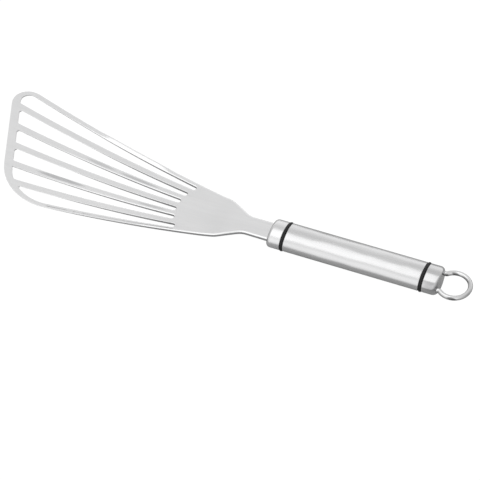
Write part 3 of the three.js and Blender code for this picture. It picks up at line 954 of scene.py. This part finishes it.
# Painted dark reflections on the wire: each one's place along and across, and its half length. They lie on
# one side of the wire
WIRE_DARK_REFLECTIONS = (
    (0.1208, 0.0077, 0.0020),
    (0.1259, 0.0104, 0.0036),
    (0.1308, -0.0103, 0.0046),
)
REFLECTION_SIDE = Vector((0.1, -0.92, 0.36))
REFLECTION_WIDTH = 0.0012
REFLECTION_EDGE = 2.2
REFLECTION_DEPTH = 3.6


def wire_painted_reflections(spot):
    """Painted reflections: dark patches on the wire that stand in for reflections of darker things near it.
    """
    total = 0
    for x, y, length in WIRE_DARK_REFLECTIONS:
        place = Vector((x, y, 0)) + REFLECTION_SIDE * WIRE_RADIUS
        total = total + painted_dark_patch(spot, place, Vector((length, REFLECTION_WIDTH, REFLECTION_WIDTH)), REFLECTION_EDGE)
    return total * REFLECTION_DEPTH


# The wire's steel, with painted dark reflections
ring_wire = brushed_steel(
    "ring_wire", WIRE_DARK, WIRE_LIGHT, WIRE_ROUGHNESS, WIRE_WAVES, WIRE_GRAIN, wire_painted_reflections
)
drive(ring_wire.node_tree.nodes["Principled BSDF"], Specular_Tint=WIRE_GRAZING)
hang_ring = part_of_tool("bent_wire", wire_mesh, ring_wire)
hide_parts("hang_ring")


# Floor: a plain pale table top that runs out of the picture. The camera sees it as white paper,
# and the steel sees it as the pale surface that it is, with the tool's shadow on it.

FLOOR_SIZE = 40
FLOOR_COLOUR = (0.46, 0.46, 0.46, 1)
PAPER_WHITE = 1.19
PAPER_SEEN = 0.82
PAPER_REFLECTED = 0.02

floor_mesh = bpy.data.meshes.new("table_top")
half_floor = FLOOR_SIZE / 2
floor_mesh.from_pydata(
    [
        (-half_floor, -half_floor, 0),
        (half_floor, -half_floor, 0),
        (half_floor, half_floor, 0),
        (-half_floor, half_floor, 0),
    ],
    [],
    [(0, 1, 2, 3)],
)
floor = bpy.data.objects.new("table_top", floor_mesh)
bpy.context.scene.collection.objects.link(floor)
paper = bpy.data.materials.new("table_paper")
paper.use_nodes = True
paper.node_tree.nodes.clear()
paper_tree = Value(paper.node_tree)
seen = paper_tree.node("ShaderNodeLightPath", output="Is Camera Ray")
rays = seen.socket.node
reflected = Value(paper.node_tree, rays.outputs["Is Glossy Ray"])
through = Value(paper.node_tree, rays.outputs["Is Transmission Ray"])
matt = paper_tree.node("ShaderNodeBsdfDiffuse", {}, {"Color": FLOOR_COLOUR})
white = paper_tree.node("ShaderNodeEmission", {}, {"Color": (1, 1, 1, 1), "Strength": PAPER_WHITE})
share = PAPER_SEEN * seen + PAPER_REFLECTED * (reflected + through)
mixed = paper_tree.node("ShaderNodeMixShader", {}, {0: share, 1: matt, 2: white})
paper_tree.node("ShaderNodeOutputMaterial", {}, {"Surface": mixed})
floor_mesh.materials.append(paper)


# Studio: a white room with a bright band low at the back and another in front, darker high at the back
# and towards both ends. One wide soft lamp hangs overhead, towards the blade.

LAMP_HEIGHT = 6.0
LAMP_LENGTH = 5.0
LAMP_WIDTH = 4.55
LAMP_BACK = 0.44
LAMP_END = -0.9
LAMP_POWER = 50

# The room's brightness round the handle, from below by way of the back, the top and the front
ROOM_STOPS = (
    (0.00, 0.60),
    (0.22, 0.80),
    (0.25, 1.25),
    (0.31, 1.20),
    (0.37, 0.84),
    (0.42, 0.84),
    (0.45, 0.89),
    (0.56, 1.02),
    (0.62, 1.30),
    (0.70, 1.24),
    (0.76, 0.70),
    (1.00, 0.60),
)
ROOM_SHADE = 0.5
ROOM_BRIGHT_END = -0.1

lamp_data = bpy.data.lights.new("overhead_softbox", "AREA")
lamp_data.shape = "RECTANGLE"
lamp_data.size = LAMP_LENGTH
lamp_data.size_y = LAMP_WIDTH
lamp_data.energy = LAMP_POWER
lamp = bpy.data.objects.new("overhead_softbox", lamp_data)
lamp.location = (LAMP_END - LAMP_LENGTH / 2, LAMP_BACK, LAMP_HEIGHT)
bpy.context.scene.collection.objects.link(lamp)

room = bpy.data.worlds.new("studio_room")
room.use_nodes = True
room.node_tree.nodes.clear()
room_tree = Value(room.node_tree)
way_out = room_tree.node("ShaderNodeTexCoord", output="Generated")
ways = {}
for axis in "XYZ":
    ways[axis] = way_out.node("ShaderNodeSeparateXYZ", {}, {0: way_out}, axis)
frontward = 0 - ways["Y"]
round_handle = frontward.math("ARCTAN2", frontward, ways["Z"]) * (0.5 / pi) + 0.5
room_grey = round_handle.node("ShaderNodeValToRGB", {"stops": ROOM_STOPS}, {0: round_handle})
from_bright_end = ways["X"] - ROOM_BRIGHT_END
room_level = room_grey * (1 - ROOM_SHADE * (from_bright_end * from_bright_end))
room_light = room_tree.node("ShaderNodeBackground", {}, {"Color": (1, 1, 1, 1), "Strength": room_level})
backdrop = room_tree.node("ShaderNodeBackground", {}, {"Color": (1, 1, 1, 1), "Strength": 1})
by_camera = room_tree.node("ShaderNodeLightPath", output="Is Camera Ray")
room_mixed = room_tree.node("ShaderNodeMixShader", {}, {0: by_camera, 1: room_light, 2: backdrop})
room_tree.node("ShaderNodeOutputWorld", {}, {"Surface": room_mixed})
bpy.context.scene.world = room
bpy.context.scene.view_settings.view_transform = "Standard"


# Camera: a long lens from above the hang ring's end, as in the photograph.
# Its place and its right, up and backward ways are in the handle's frame.

CAMERA_PLACE = Vector((0.3796, -0.8301, 1.0316))
CAMERA_RIGHT = Vector((0.9185, 0.3932, -0.0420))
CAMERA_BACK = Vector((0.2886, -0.5941, 0.7508))
CAMERA_LENS = 155
CAMERA_SENSOR = 36
CAMERA_FAR = 100

right = CAMERA_RIGHT.normalized()
up = CAMERA_BACK.cross(right).normalized()
back = right.cross(up)
camera_data = bpy.data.cameras.new("photo_camera")
camera_data.lens = CAMERA_LENS
camera_data.sensor_width = CAMERA_SENSOR
camera_data.clip_end = CAMERA_FAR
camera = bpy.data.objects.new("photo_camera", camera_data)
bpy.context.scene.collection.objects.link(camera)
camera_turn = Matrix((right, up, back)).transposed().to_4x4()
camera.matrix_world = handle @ Matrix.Translation(CAMERA_PLACE) @ camera_turn
bpy.context.scene.camera = camera
